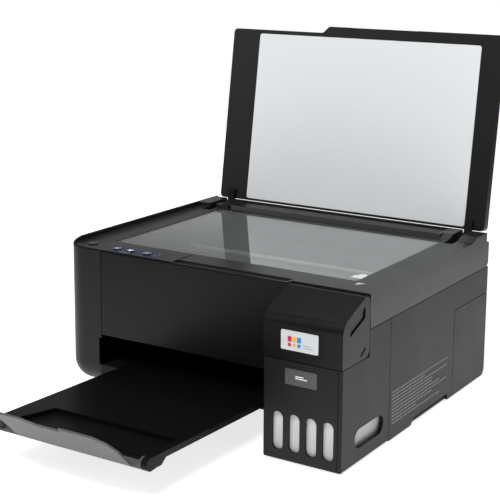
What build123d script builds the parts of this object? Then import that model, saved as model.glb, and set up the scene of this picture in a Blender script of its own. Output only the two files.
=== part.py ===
from build123d import *
import math
import os

os.makedirs("parts", exist_ok=True)

# ---------------------------------------------------------------- driving dimensions (mm)
# X runs to the right of a person facing the printer, Y to the back, Z up from the floor.
WIDTH = 375.0
HALF = WIDTH / 2
FRONT = -101.5               # front of the ink tank unit, the foremost face of the casing
FACE = FRONT + 44            # plane of the front panel and the left column
REAR = FRONT + 350
WALL = 2.5
FLOOR_Z = 2.0                # underside of the casing, on the rubber feet
SEAM_Z = 131.0               # split between the scanner unit and the base
TOP_Z = 167.0                # frame round the glass
RIM_Z = 171.5                # raised rim on the left and at the back of the glass
GAP = 0.8                    # visible seam between casing pieces
COLUMN_RIGHT = -135.5        # right edge of the left column
TANK_LEFT = 100.5            # left face of the ink tank unit
TANK_REAR = FRONT + 101
COVER_REAR = FRONT + 54      # back edge of the ink tank cover
COVER_SPLIT = 104.0          # height where the tank cover meets the tank unit
MOUTH_TOP = 72.5             # top of the paper output mouth
LIP_Z = 29.5                 # lowest edge of the casing under the mouth
COLUMN_LIP_Z = 16.5          # lowest front edge of the left column
UNDER_Y = FRONT + 140        # where the sloping underside meets the flat bottom

# Scanner unit: pivots at the back of the casing, high enough for its rear face to clear the feeder
SCAN_FRONT = COVER_REAR + GAP
SCAN_REAR = FRONT + 304
LIFT_Y, LIFT_Z = FRONT + 342.5, 156.5
EAR_LEFT, EAR_RIGHT = -141.0, 146.0     # inner faces of the two rear ears

# Glass
GLASS_L, GLASS_R, GLASS_F, GLASS_B = -149.5, 154.5, FRONT + 89, FRONT + 297.5

# Document cover: pivot line, opening angle at rest, and its size measured from the pivot
COVER_PIVOT_Y, COVER_PIVOT_Z = FRONT + 326, 150.0
COVER_OPEN = 98.5
COVER_NEAR, COVER_FAR_L, COVER_FAR_R = 24.0, 241.0, 249.0
COVER_L, COVER_R = -181.5, 181.5
COVER_UNDER, COVER_TOP = 18.2, 29.0
ARM_X = 163.0                # middle of each hinge arm, left and right of the centre

# Output tray: slides out along a slope that rises a little towards the front
TRAY_TILT = 1.65
TRAY_L, TRAY_R = -109.5, 76.5
TRAY_Z = 40.2                # height of the tray's top at the front panel plane
TRAY_T = 6.0
TRAY_BAR = 194.0             # stopper axis, this far in front of the panel plane
STOP_R = 6.3

# Print mechanism
PAPER_X = -17.0              # middle of the paper path
PLATE_L, PLATE_R = -132.0, 96.0         # inner faces of the two side plates
FEED_Y, IDLER_Y, EXIT_Y, ROLL_Z = FRONT + 216, FRONT + 186, FRONT + 156, 62.0
FEED_R = 7.0
GEAR_MODULE, GEAR_TEETH = 1.25, 24
MOTOR_Z = ROLL_Z - 25
PINION_TEETH = 16
PINCH_Z = ROLL_Z + FEED_R + 4.3
PICK_Y, PICK_Z, PICK_R = FRONT + 302.5, 98.0, 16.0
ROD_Y, ROD_Z = FRONT + 222, 112.0
HOME_X = 135.0
BELT_Y, BELT_Z, PULLEY_R = FRONT + 236.5, 100.0, 6.0
PULLEY_L, PULLEY_RIGHT = -155.0, 158.0

# Paper support at the back, sliding up parallel to the open document cover
SUPPORT_TILT = COVER_OPEN - 90
SUPPORT_Y = FRONT + 335.0    # where its middle plane passes z = 171
SUPPORT_W, SUPPORT_LOW, SUPPORT_HIGH, SUPPORT_T = 200.0, -100.0, -1.0, 3.0

TANK_COUNT = 4
TANK_PITCH = 18.6
TANK_FIRST_X = 117.2

COVER_SIN, COVER_COS = math.sin(math.radians(COVER_OPEN)), math.cos(math.radians(COVER_OPEN))
COVER_PLANE = Plane(
    origin=(0, COVER_PIVOT_Y, COVER_PIVOT_Z), x_dir=(1, 0, 0), z_dir=(0, COVER_SIN, COVER_COS)
)
TILT_SIN, TILT_COS = math.sin(math.radians(TRAY_TILT)), math.cos(math.radians(TRAY_TILT))
TRAY_PLANE = Plane(origin=(0, FACE, TRAY_Z), x_dir=(1, 0, 0), z_dir=(0, TILT_SIN, TILT_COS))


def save(piece, node):
    """Labels a finished piece and writes its STEP file."""
    piece.part.label = node
    export_step(piece.part, f"parts/{node}.step")


def block(x0, x1, y0, y1, z0, z1, mode=Mode.ADD):
    """A box between two opposite corners, in the open builder."""
    with Locations(((x0 + x1) / 2, (y0 + y1) / 2, (z0 + z1) / 2)):
        Box(x1 - x0, y1 - y0, z1 - z0, mode=mode)


def rod_x(x0, x1, y, z, radius, mode=Mode.ADD):
    """A round bar along X, in the open builder."""
    with Locations(Location(((x0 + x1) / 2, y, z), (0, 90, 0))):
        Cylinder(radius, x1 - x0, mode=mode)


def rod_z(x, y, z0, z1, radius, mode=Mode.ADD):
    """A round bar along Z, in the open builder."""
    with Locations((x, y, (z0 + z1) / 2)):
        Cylinder(radius, z1 - z0, mode=mode)


def side_profile(x0, x1, points, mode=Mode.ADD):
    """A (Y, Z) outline pushed from x0 to x1, in the open builder."""
    with BuildSketch(Plane.YZ.offset(x0)) as outline:
        with BuildLine():
            Polyline(*points, close=True)
        make_face()
    extrude(outline.sketch, amount=x1 - x0, mode=mode)


# ---------------------------------------------------------------- casing of the base
def left_end(inset, top):
    """The left end of the casing as one solid, drawn in by the inset on every outer face."""
    outline = [
        (FACE + inset, COLUMN_LIP_Z + inset * 0.9), (UNDER_Y, FLOOR_Z + inset), (REAR, FLOOR_Z + inset),
        (REAR, top[0]), (FACE + 32, top[0]), (FACE + inset, top[1]),
    ]
    with BuildPart() as body:
        side_profile(-HALF + inset, COLUMN_RIGHT, outline)
        corner = body.edges().filter_by(Axis.Z).group_by(Axis.Y)[0].sort_by(Axis.X)[0]
        fillet(corner, 27 - inset)
        low = body.edges().filter_by(lambda e: e.center().Z < COLUMN_LIP_Z + 1.5 and e.center().X < -140
                                     and abs(e.tangent_at(0.5).X) < 0.99)
        fillet(low, 24 - inset)
    return body.part


left_outer = left_end(0, (RIM_Z, 166.0))
left_space = left_end(WALL, (RIM_Z + 40, RIM_Z + 40))
with BuildPart() as left_side_cover:
    add(left_outer)
    add(left_space, mode=Mode.SUBTRACT)
    block(-HALF, COLUMN_RIGHT, REAR - WALL, REAR + 1, 0, RIM_Z + 1, mode=Mode.SUBTRACT)
    # the mouth's left edge is cut back a little from the seam above it
    block(-139.0, COLUMN_RIGHT, FACE - 1, FACE + WALL, 38, MOUTH_TOP - 4, mode=Mode.SUBTRACT)
    # web that closes the side of the column below the mouth
    side_profile(COLUMN_RIGHT - WALL, COLUMN_RIGHT, [
        (FACE, COLUMN_LIP_Z), (UNDER_Y - 4, FLOOR_Z + 0.6), (UNDER_Y, FLOOR_Z + 3), (FACE, LIP_Z + 3),
    ])
save(left_side_cover, "left_side_cover")

def tray_under(behind):
    """Height just under the tray's runners, this far behind the front panel plane."""
    return TRAY_Z - TRAY_T - 0.1 - behind * TILT_SIN / TILT_COS


MOUTH_L = COLUMN_RIGHT + 0.5
BOARD_Z = 30.0
BOARD_POSTS = [(104, 266), (180, 266), (104, 341), (180, 341)]
SCREW_X, SCREW_Z = [-120.0, -20.0, 85.0], 13.0
with BuildPart() as base_case:
    side_profile(MOUTH_L, TANK_LEFT - 0.5, [
        (FACE, LIP_Z), (UNDER_Y, FLOOR_Z), (REAR - WALL, FLOOR_Z), (REAR - WALL, FLOOR_Z + 3),
        (UNDER_Y, FLOOR_Z + 3), (FACE + 3, LIP_Z + 3), (FACE + 3, 38), (FACE, 38),
    ])
    block(TANK_LEFT - 0.5, HALF - WALL, TANK_REAR + 1, REAR - WALL, FLOOR_Z, FLOOR_Z + 3)
    # slot in the lip for the tray, and a ledge each side of it
    block(TRAY_L - 2.5, TRAY_R + 2.5, FACE - 1, FACE + 3, 33.2, 39, mode=Mode.SUBTRACT)
    block(MOUTH_L, TRAY_L - 2.5, FACE + 3, FACE + 60, 35.5, 38)
    block(TRAY_R + 2.5, TANK_LEFT - 0.5, FACE + 3, FACE + 60, 35.5, 38)
    # guide rails that carry the tray from below, each on a web down to the floor
    for x in (TRAY_L + 8, TRAY_R - 12):
        side_profile(x, x + 4, [
            (UNDER_Y, FLOOR_Z + 1), (FACE + 222, FLOOR_Z + 1), (FACE + 222, tray_under(222)),
            (FACE + 6, tray_under(6)), (FACE + 6, LIP_Z + 1.5),
        ])
    # raised mouldings that carry the mechanism frame
    for x in (PLATE_L - 3.5, PLATE_R - 1.5):
        block(x, x + 5, FRONT + 146, FRONT + 300, FLOOR_Z + 1, 24)
    # posts for the main board and bosses for the back cover screws
    for x, y in BOARD_POSTS:
        rod_z(x, FRONT + y, FLOOR_Z + 1, BOARD_Z, 3)
    for x in SCREW_X:
        block(x - 5, x + 5, REAR - 12, REAR - WALL, FLOOR_Z + 1, 19)
        with Locations(Location((x, REAR - 8, SCREW_Z), (90, 0, 0))):
            Cylinder(1.4, 20, mode=Mode.SUBTRACT)
save(base_case, "base_case")

FOOT_XY = [(-120, 160), (60, 160), (-150, 325), (160, 325), (112, 14), (174, 14)]
with BuildPart() as rubber_feet:
    for x, y in FOOT_XY:
        rod_z(x, FRONT + y, 0, FLOOR_Z, 7)
save(rubber_feet, "rubber_feet")

REAR_COVER_Y = FRONT + 259
REAR_COVER_Z = 100.0
NOTCH = (FRONT + 153, FRONT + 236)
with BuildPart() as right_side_panel:
    block(HALF - WALL, HALF, TANK_REAR + GAP, REAR, 1.2, SEAM_Z)
    block(HALF - WALL - 1, HALF + 1, REAR_COVER_Y - GAP, REAR + 1, 0, REAR_COVER_Z + GAP, mode=Mode.SUBTRACT)
    # hand notch along the bottom edge
    side_profile(HALF - WALL - 1, HALF + 1, [
        (NOTCH[0], 0), (NOTCH[0] + 7, 8), (NOTCH[1] + 10, 8), (NOTCH[1] + 10, 0),
    ], mode=Mode.SUBTRACT)
    # return flange that the rear cover screws to
    block(HALF - 14, HALF - WALL, REAR_COVER_Y - GAP - 3, REAR_COVER_Y - GAP, 10, REAR_COVER_Z)
save(right_side_panel, "right_side_panel")

with BuildPart() as right_rear_cover:
    block(HALF - WALL, HALF, REAR_COVER_Y, REAR, 1.2, REAR_COVER_Z)
    side_profile(HALF - WALL - 1, HALF + 1, [
        (REAR - 6, 0), (REAR + 1, 0), (REAR + 1, 8),
    ], mode=Mode.SUBTRACT)
    side_profile(HALF - WALL - 1, HALF + 1, [
        (REAR_COVER_Y - 1, 0), (REAR_COVER_Y - 1, 8), (NOTCH[1], 8), (NOTCH[1] + 7, 0),
    ], mode=Mode.SUBTRACT)
save(right_rear_cover, "right_rear_cover")

AC_X, AC_Z = -150.0, 24.0
USB_X, USB_Z = 128.0, 40.0
with BuildPart() as back_cover:
    block(-HALF, HALF - WALL, REAR - WALL, REAR, FLOOR_Z, SEAM_Z)
    block(AC_X - 11.2, AC_X + 11.2, REAR - 4, REAR + 1, AC_Z - 7.7, AC_Z + 7.7, mode=Mode.SUBTRACT)
    block(USB_X - 8.2, USB_X + 8.2, REAR - 4, REAR + 1, USB_Z - 8.7, USB_Z + 7.7, mode=Mode.SUBTRACT)
    for x in SCREW_X:
        with Locations(Location((x, REAR, SCREW_Z), (90, 0, 0))):
            Cylinder(3.5, 3.2, mode=Mode.SUBTRACT)
            Cylinder(1.45, 9, mode=Mode.SUBTRACT)
    # cooling slots
    with Locations((0, REAR - WALL / 2, 60)):
        with GridLocations(12, 0, 9, 1):
            Box(3, WALL * 3, 30, mode=Mode.SUBTRACT)
save(back_cover, "back_cover")

# ---------------------------------------------------------------- ink tank unit
WINDOW_W, WINDOW_LOW, WINDOW_HIGH = 12.4, 11.8, 51.0
COVER_PIN_Y, COVER_PIN_Z, COVER_PIN_R = COVER_REAR - 8, 158.1, 2.0
CAP_PIVOT_Y, CAP_PIVOT_Z = FRONT + 36, 98.5
SIDE_WINDOW_Y, SIDE_WINDOW_Z = FRONT + 58.5, 26.0
with BuildPart() as tank_housing:
    block(TANK_LEFT, HALF, FRONT, TANK_REAR, FLOOR_Z, COVER_SPLIT)
    vertical = tank_housing.edges().filter_by(Axis.Z).group_by(Axis.Y)[0]
    fillet(vertical, 2)
    fillet(tank_housing.faces().sort_by(Axis.Z)[0].edges().group_by(Axis.Y)[0], 1.2)
    block(TANK_LEFT + 2.5, HALF - 2.5, FRONT + 3, TANK_REAR + 1, 4, COVER_SPLIT - 12, mode=Mode.SUBTRACT)
    # four filler wells through the shelf under the cover
    for i in range(TANK_COUNT):
        rod_z(TANK_FIRST_X + i * TANK_PITCH, FRONT + 24, 80, 110, 7.4, mode=Mode.SUBTRACT)
    block(TANK_LEFT + 6, HALF - 6, FRONT + 6, COVER_REAR - 4, COVER_SPLIT - 9, COVER_SPLIT + 1,
          mode=Mode.SUBTRACT)
    # the side wall behind the cover carries on up to the scanner seam
    block(HALF - WALL, HALF, COVER_REAR + GAP, TANK_REAR, COVER_SPLIT - 1, SEAM_Z)
    block(TANK_LEFT, HALF - WALL, COVER_REAR + GAP, COVER_REAR + GAP + WALL, COVER_SPLIT - 1, SEAM_Z)
    block(TANK_LEFT, TANK_LEFT + WALL, COVER_REAR + GAP, TANK_REAR, COVER_SPLIT - 1, SEAM_Z)
    # front windows
    with BuildSketch(Plane.XZ.offset(-FRONT - 8)):
        for i in range(TANK_COUNT):
            with Locations((TANK_FIRST_X + i * TANK_PITCH, (WINDOW_LOW + WINDOW_HIGH) / 2)):
                SlotOverall(WINDOW_HIGH - WINDOW_LOW, WINDOW_W, rotation=90)
    extrude(amount=12, mode=Mode.SUBTRACT)
    # side window
    with BuildSketch(Plane.YZ.offset(HALF - 5)):
        with Locations((SIDE_WINDOW_Y, SIDE_WINDOW_Z)):
            SlotOverall(61, 20)
    extrude(amount=8, mode=Mode.SUBTRACT)
    # shallow groove beside the front right edge, where the side wall meets the front
    block(HALF - 4.2, HALF - 3.4, FRONT - 1, FRONT + 0.7, 4, COVER_SPLIT - 2, mode=Mode.SUBTRACT)
    # arms with stub pins that the cover snaps onto, and the bar the filler caps hinge on
    for x, x0, x1 in ((TANK_LEFT + WALL + 0.4, TANK_LEFT + 1.2, TANK_LEFT + WALL + 3),
                      (HALF - WALL - 3.4, HALF - WALL - 3, HALF - 1.2)):
        block(x, x + 3, COVER_PIN_Y - 6, COVER_PIN_Y + 2.3, COVER_SPLIT - 8, COVER_PIN_Z)
        rod_x(x, x + 3, COVER_PIN_Y, COVER_PIN_Z, 5)
        rod_x(x0, x1, COVER_PIN_Y, COVER_PIN_Z, COVER_PIN_R)
    rod_x(TANK_LEFT + 5.5, HALF - 5.5, CAP_PIVOT_Y, CAP_PIVOT_Z, 1.0)
save(tank_housing, "tank_housing")

INKS = ["black", "cyan", "magenta", "yellow"]
with BuildPart() as ink_tanks:
    for i in range(TANK_COUNT):
        x = TANK_FIRST_X + i * TANK_PITCH
        block(x - 8.6, x + 8.6, FRONT + 3.6, TANK_REAR - 4, 4.6, 82)
    fillet(ink_tanks.edges().filter_by(Axis.Z), 1.5)
    for i in range(TANK_COUNT):
        x = TANK_FIRST_X + i * TANK_PITCH
        rod_z(x, FRONT + 24, 81, 96, 6.6)
        rod_z(x, FRONT + 24, 60, 97, 4.8, mode=Mode.SUBTRACT)
save(ink_tanks, "ink_tanks")

for i, ink in enumerate(INKS):
    x = TANK_FIRST_X + i * TANK_PITCH
    with BuildPart() as tank_cap:
        rod_z(x, FRONT + 24, 96.2, 101, 7.2)
        rod_z(x, FRONT + 24, 94.5, 96.4, 4.0)
        block(x - 3, x + 3, FRONT + 24, CAP_PIVOT_Y, 97.5, 99.5)
        rod_x(x - 3, x + 3, CAP_PIVOT_Y, CAP_PIVOT_Z, 2.0)
        # thumb tab at the front
        block(x - 2.5, x + 2.5, FRONT + 13.5, FRONT + 20, 98.5, 100.5)
        rod_x(x - 4, x + 4, CAP_PIVOT_Y, CAP_PIVOT_Z, 1.05, mode=Mode.SUBTRACT)
    save(tank_cap, f"tank_cap_{ink}")

# Cover over the tanks: upright front, rounded brow, slope up to the scanner. Its pin sits at the
# top rear edge, so the front swings up; it is open behind, where the hinge arms stand.
BROW_Z, BROW_R, COVER_TOP_Z = 148.0, 14.0, 170.0
SLOPE = (COVER_TOP_Z - BROW_Z) / (COVER_REAR - FRONT)
with BuildPart() as tank_cover:
    side_profile(TANK_LEFT, HALF, [
        (FRONT, COVER_SPLIT + GAP), (COVER_REAR, COVER_SPLIT + GAP), (COVER_REAR, COVER_TOP_Z),
        (FRONT, BROW_Z),
    ])
    brow = tank_cover.edges().filter_by(Axis.X).group_by(Axis.Y)[0].sort_by(Axis.Z)[-1]
    fillet(brow, BROW_R)
    top_rear = tank_cover.edges().filter_by(Axis.X).group_by(Axis.Z)[-1]
    fillet(top_rear, 8)
    low_rear = tank_cover.edges().filter_by(Axis.X).group_by(Axis.Z)[0].sort_by(Axis.Y)[-1]
    fillet(low_rear, 8)
    side_profile(TANK_LEFT + WALL, HALF - WALL, [
        (FRONT + WALL, COVER_SPLIT - 2), (COVER_REAR + 5, COVER_SPLIT - 2),
        (COVER_REAR + 5, COVER_PIN_Z), (COVER_PIN_Y + 5.5, COVER_PIN_Z),
        (COVER_PIN_Y - 2.07, BROW_Z - 2.75 + SLOPE * 43.93),
        (FRONT + WALL + 8, BROW_Z - 3.2 + SLOPE * 10), (FRONT + WALL, BROW_Z - 10),
    ], mode=Mode.SUBTRACT)
    rod_x(TANK_LEFT + WALL, HALF - WALL, COVER_PIN_Y, COVER_PIN_Z, 5.5, mode=Mode.SUBTRACT)
    # sockets for the pin
    rod_x(TANK_LEFT + 1, HALF - 1, COVER_PIN_Y, COVER_PIN_Z, COVER_PIN_R + 0.05, mode=Mode.SUBTRACT)
    # finger recess in the right side, and a small latch slot below it
    side_profile(HALF - 1.4, HALF + 1, [
        (COVER_REAR - 10, 157), (COVER_REAR - 10, 146), (COVER_REAR - 40, 134), (COVER_REAR - 40, 145),
    ], mode=Mode.SUBTRACT)
    side_profile(HALF - 1.4, HALF + 1, [
        (COVER_REAR - 18, 108), (COVER_REAR - 18, 111), (COVER_REAR - 8, 117), (COVER_REAR - 8, 114),
    ], mode=Mode.SUBTRACT)
save(tank_cover, "tank_cover")

with BuildPart() as cover_badge:
    block(120.5, 161.5, FRONT - 0.7, FRONT, 115.5, 135)
    fillet(cover_badge.edges().filter_by(Axis.Y), 1.5)
save(cover_badge, "cover_badge")

with BuildPart() as tank_plate:
    block(125.5, 160.5, FRONT - 0.5, FRONT, 81, 97)
    fillet(tank_plate.edges().filter_by(Axis.Y), 1)
save(tank_plate, "tank_plate")

# ---------------------------------------------------------------- scanner unit
SKIN_L = -HALF + WALL + 0.4  # left edge of everything that lifts, inside the left side cover
PAN_Z, PLATE_Z = SEAM_Z + 1.5, 161.7
CORNER_R = 27 - WALL - 0.4
CONTROL_L, CONTROL_R, CONTROL_F, CONTROL_B, CONTROL_Z = SKIN_L, -42.5, FACE + 3, FRONT + 88, 163.9
BUTTONS = {"power": (-162.5, 65, 5.5), "copy": (-124.5, 60, 4.5), "start": (-106.5, 60, 4.5),
           "stop": (-84.5, 60, 4.5)}
with BuildPart() as scanner_bezel:
    # plate round the glass
    block(SKIN_L, COLUMN_RIGHT + GAP, FACE + WALL + 0.6, SCAN_REAR, PLATE_Z, TOP_Z)
    block(COLUMN_RIGHT + GAP, TANK_LEFT - GAP, FACE + WALL, SCAN_REAR, PLATE_Z, TOP_Z)
    block(TANK_LEFT - GAP, HALF, SCAN_FRONT, SCAN_REAR, PLATE_Z, TOP_Z)
    corner = scanner_bezel.edges().filter_by(Axis.Z).group_by(Axis.X)[0].sort_by(Axis.Y)[0]
    fillet(corner, CORNER_R)
    # skirt down the right side and the right part of the front
    block(HALF - WALL, HALF, SCAN_FRONT, SCAN_REAR, SEAM_Z + GAP, TOP_Z)
    block(TANK_LEFT - GAP, HALF, SCAN_FRONT, SCAN_FRONT + WALL, SEAM_Z + GAP, TOP_Z)
    # rear ears, rounded about the lift pivot so that they clear the back cover
    for x0, x1 in ((SKIN_L, EAR_LEFT), (EAR_RIGHT, HALF)):
        block(x0, x1, SCAN_REAR - 1, FRONT + 343.5, SEAM_Z + GAP, RIM_Z)
        block(x0, x1, SCAN_REAR - 1, REAR, SEAM_Z + GAP, 160)
    rear_low = scanner_bezel.edges().filter_by(Axis.X).group_by(Axis.Y)[-1].group_by(Axis.Z)[0]
    fillet(rear_low, 6.5)
    # the skirt behind the tank cover leans back a little at its foot, to swing up clear of it
    side_profile(TANK_LEFT - GAP - 1, HALF + 1, [
        (SCAN_FRONT - 1, SEAM_Z), (SCAN_FRONT + 1.2, SEAM_Z), (SCAN_FRONT, SEAM_Z + 16), (SCAN_FRONT - 1, SEAM_Z + 16),
    ], mode=Mode.SUBTRACT)
    # the right rim ramps down to the level of the glass frame
    side_profile(EAR_RIGHT - 1, HALF + 1, [
        (SCAN_REAR - 2, TOP_Z), (SCAN_REAR + 12, RIM_Z), (SCAN_REAR + 12, RIM_Z + 2), (SCAN_REAR - 2, RIM_Z + 2),
    ], mode=Mode.SUBTRACT)
    # seat for the glass, leaving a narrow ledge under its edge
    block(GLASS_L, GLASS_R, GLASS_F, GLASS_B, PLATE_Z + 1.5, TOP_Z + 1, mode=Mode.SUBTRACT)
    block(GLASS_L + 4, GLASS_R - 4, GLASS_F + 4, GLASS_B - 4, PLATE_Z - 1, TOP_Z + 1, mode=Mode.SUBTRACT)
    # seat for the control panel, with a well under each button
    block(SKIN_L - 1, CONTROL_R + 0.3, FACE, CONTROL_B + 0.3, CONTROL_Z, TOP_Z + 1, mode=Mode.SUBTRACT)
    for x, y, r in BUTTONS.values():
        rod_z(x, FRONT + y, PLATE_Z - 1, CONTROL_Z + 1, r + 1.2, mode=Mode.SUBTRACT)
    # groove for the edge of the document cover
    block(CONTROL_R + 0.3, TANK_LEFT - 3, FACE + WALL + 1.2, FRONT + 60, TOP_Z - 2, TOP_Z + 1, mode=Mode.SUBTRACT)
    # slots for the cover's hinge arms, and holes for both sets of hinge pins
    for x in (-ARM_X, ARM_X):
        block(x - 5.3, x + 5.3, SCAN_REAR, REAR + 1, 141, RIM_Z + 1, mode=Mode.SUBTRACT)
        block(x - 5.3, x + 5.3, SCAN_REAR - 16, SCAN_REAR + 1, 163.2, RIM_Z + 1, mode=Mode.SUBTRACT)
        rod_x(x - 9.3, x + 9.3, COVER_PIVOT_Y, COVER_PIVOT_Z, 2.55, mode=Mode.SUBTRACT)
    rod_x(EAR_LEFT - 9, EAR_LEFT + 1, LIFT_Y, LIFT_Z, 2.55, mode=Mode.SUBTRACT)
    rod_x(EAR_RIGHT - 1, EAR_RIGHT + 9, LIFT_Y, LIFT_Z, 2.55, mode=Mode.SUBTRACT)
save(scanner_bezel, "scanner_bezel")

with BuildPart() as scanner_pan:
    block(SKIN_L + 3, HALF - WALL, SCAN_FRONT + WALL, SCAN_REAR - 1, PAN_Z, PLATE_Z)
    fillet(scanner_pan.edges().filter_by(Axis.Z).group_by(Axis.X)[0].sort_by(Axis.Y)[0], 10)
    block(SKIN_L + 5, HALF - WALL - 2, SCAN_FRONT + WALL + 2, SCAN_REAR - 3, PAN_Z + 2.2, PLATE_Z + 1,
          mode=Mode.SUBTRACT)
    # brackets that carry the front panel, and blocks for the scan rod
    for x in (-120, -20, 80):
        block(x, x + 4, FACE + WALL, SCAN_FRONT + WALL + 1, PAN_Z + 2, PLATE_Z - 4)
    for x in (SKIN_L + 5, HALF - WALL - 10):
        block(x, x + 8, FRONT + 186, FRONT + 200, PAN_Z + 2, 148)
        rod_x(x - 1, x + 9, FRONT + 193, 142.5, 3, mode=Mode.SUBTRACT)
save(scanner_pan, "scanner_pan")

with BuildPart() as scanner_glass:
    block(GLASS_L + 0.2, GLASS_R - 0.2, GLASS_F + 0.2, GLASS_B - 0.2, PLATE_Z + 1.5, TOP_Z - 0.6)
save(scanner_glass, "scanner_glass")

with BuildPart() as scan_rod:
    rod_x(SKIN_L + 6, HALF - WALL - 3, FRONT + 193, 142.5, 3)
save(scan_rod, "scan_rod")

with BuildPart() as scan_bar:
    block(-146, -124, FRONT + 84, FRONT + 300, 148.5, 160.5)
    block(-145, -125, FRONT + 183, FRONT + 203, 136, 149)
    rod_x(-147, -123, FRONT + 193, 142.5, 3.06, mode=Mode.SUBTRACT)
    block(-139, -131, FRONT + 86, FRONT + 298, 159.7, 161, mode=Mode.SUBTRACT)
save(scan_bar, "scan_bar")

with BuildPart() as front_panel:
    block(COLUMN_RIGHT + GAP, TANK_LEFT - GAP, FACE, FACE + WALL, MOUTH_TOP, TOP_Z - 1)
    fillet(front_panel.edges().filter_by(Axis.X).group_by(Axis.Y)[0], 1)
save(front_panel, "front_panel")

with BuildPart() as control_panel:
    block(CONTROL_L, CONTROL_R, CONTROL_F, CONTROL_B, CONTROL_Z, TOP_Z + 0.4)
    corner = control_panel.edges().filter_by(Axis.Z).group_by(Axis.Y)[0].sort_by(Axis.X)[0]
    fillet(corner, CORNER_R)
    fillet(control_panel.edges().group_by(Axis.Z)[-1], 0.6)
    for x, y, r in BUTTONS.values():
        rod_z(x, FRONT + y, CONTROL_Z - 1, TOP_Z + 2, r + 0.3, mode=Mode.SUBTRACT)
save(control_panel, "control_panel")

for button, (x, y, r) in BUTTONS.items():
    with BuildPart() as key:
        rod_z(x, FRONT + y, 162.9, TOP_Z + 1.4, r)
        fillet(key.edges().group_by(Axis.Z)[-1], 0.6)
        rod_z(x, FRONT + y, 162.9, 163.7, r + 0.8)
    save(key, f"{button}_button")

# ---------------------------------------------------------------- document cover
def on_cover(length, height):
    """(Y, Z) of a point this far along the cover from its pivot and this high above it."""
    return (COVER_PIVOT_Y - length * COVER_COS + height * COVER_SIN,
            COVER_PIVOT_Z + length * COVER_SIN + height * COVER_COS)


with BuildPart() as document_cover:
    with BuildSketch(COVER_PLANE.offset(COVER_UNDER)):
        with BuildLine():
            Polyline((COVER_L, -COVER_NEAR), (COVER_R, -COVER_NEAR), (COVER_R, -COVER_FAR_R),
                     (-44, -COVER_FAR_R), (-52, -COVER_FAR_L), (COVER_L, -COVER_FAR_L), close=True)
        make_face()
    extrude(amount=COVER_TOP - COVER_UNDER)
    back_face = document_cover.faces().sort_by(Axis.Y)[-1]
    fillet(document_cover.edges().filter_by(lambda e: abs(e.tangent_at(0).Z) < 0.2
                                            and abs(e.tangent_at(0).X) < 0.2), 5)
    with BuildSketch(COVER_PLANE.offset(COVER_UNDER)):
        with Locations((8, -131.5)):
            Rectangle(294, 203)
    extrude(amount=7.5, mode=Mode.SUBTRACT)
    # finger grip in the free edge
    with BuildSketch(COVER_PLANE.offset(COVER_UNDER)):
        with Locations((30, -COVER_FAR_R)):
            Rectangle(90, 6)
    extrude(amount=3, mode=Mode.SUBTRACT)
save(document_cover, "document_cover")

with BuildPart() as cover_pad:
    with BuildSketch(COVER_PLANE.offset(COVER_UNDER - 0.9)):
        with Locations((7.8, -131.5)):
            RectangleRounded(298.5, 209, 3)
    extrude(amount=0.9)
save(cover_pad, "cover_pad")

with BuildPart() as cover_hinge_arms:
    for x in (-ARM_X, ARM_X):
        side_profile(x - 4.5, x + 4.5, [on_cover(*p) for p in (
            (0, -5.6), (8, -3.5), (21, 13.8), (36, 15.2), (36, COVER_UNDER), (17, COVER_UNDER), (-4, 4.2))])
        rod_x(x - 4.5, x + 4.5, COVER_PIVOT_Y, COVER_PIVOT_Z, 6)
        rod_x(x - 9, x + 9, COVER_PIVOT_Y, COVER_PIVOT_Z, 2.5)
save(cover_hinge_arms, "cover_hinge_arms")

# ---------------------------------------------------------------- rear paper feed
GUARD_Y, GUARD_Z = FRONT + 311.5, 168.8
FRAME_L, FRAME_R = EAR_LEFT + 0.6, EAR_RIGHT - 0.7
with BuildPart() as feeder_frame:
    block(FRAME_L, FRAME_R, FRONT + 306, FRONT + 343.5, 120, RIM_Z)
    block(FRAME_L, FRAME_R, FRONT + 343, REAR - WALL - 0.5, 120, 160)
    block(FRAME_L, FRAME_R, FRONT + 343, REAR, SEAM_Z + GAP, 160)
    block(FRAME_L + 4, FRAME_R - 4, FRONT + 308.5, FRONT + 340, 119, RIM_Z + 1, mode=Mode.SUBTRACT)
    # sloped front edge that the scanner unit swings up past
    side_profile(FRAME_L - 1, FRAME_R + 1, [
        (FRONT + 305, 164.5), (FRONT + 306, 164.5), (FRONT + 308, RIM_Z), (FRONT + 308, RIM_Z + 1),
        (FRONT + 305, RIM_Z + 1),
    ], mode=Mode.SUBTRACT)
    # stub pins that the scanner unit pivots on, and a shelf for the paper guides
    rod_x(FRAME_L - 8, FRAME_L + 2, LIFT_Y, LIFT_Z, 2.5)
    rod_x(FRAME_R - 2, FRAME_R + 8, LIFT_Y, LIFT_Z, 2.5)
    block(FRAME_L + 3, FRAME_R - 3, FRONT + 308, FRONT + 315, 146, 149.9)
    rod_x(FRAME_L + 1, FRAME_R - 1, GUARD_Y, GUARD_Z, 1.26, mode=Mode.SUBTRACT)
    # lugs that stand on the mechanism's side plates
    for x in (PLATE_L - 2, PLATE_R):
        block(x, x + 2, FRONT + 306, FRONT + 312, 112, 121)
save(feeder_frame, "feeder_frame")

with BuildPart() as feeder_guard:
    block(FRAME_L + 5, FRAME_R - 5, GUARD_Y, FRONT + 330, GUARD_Z - 0.2, GUARD_Z + 2.2)
    rod_x(FRAME_L + 5, FRAME_R - 5, GUARD_Y, GUARD_Z, 2.2)
    rod_x(FRAME_L + 2, FRAME_R - 2, GUARD_Y, GUARD_Z, 1.2)
save(feeder_guard, "feeder_guard")

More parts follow.
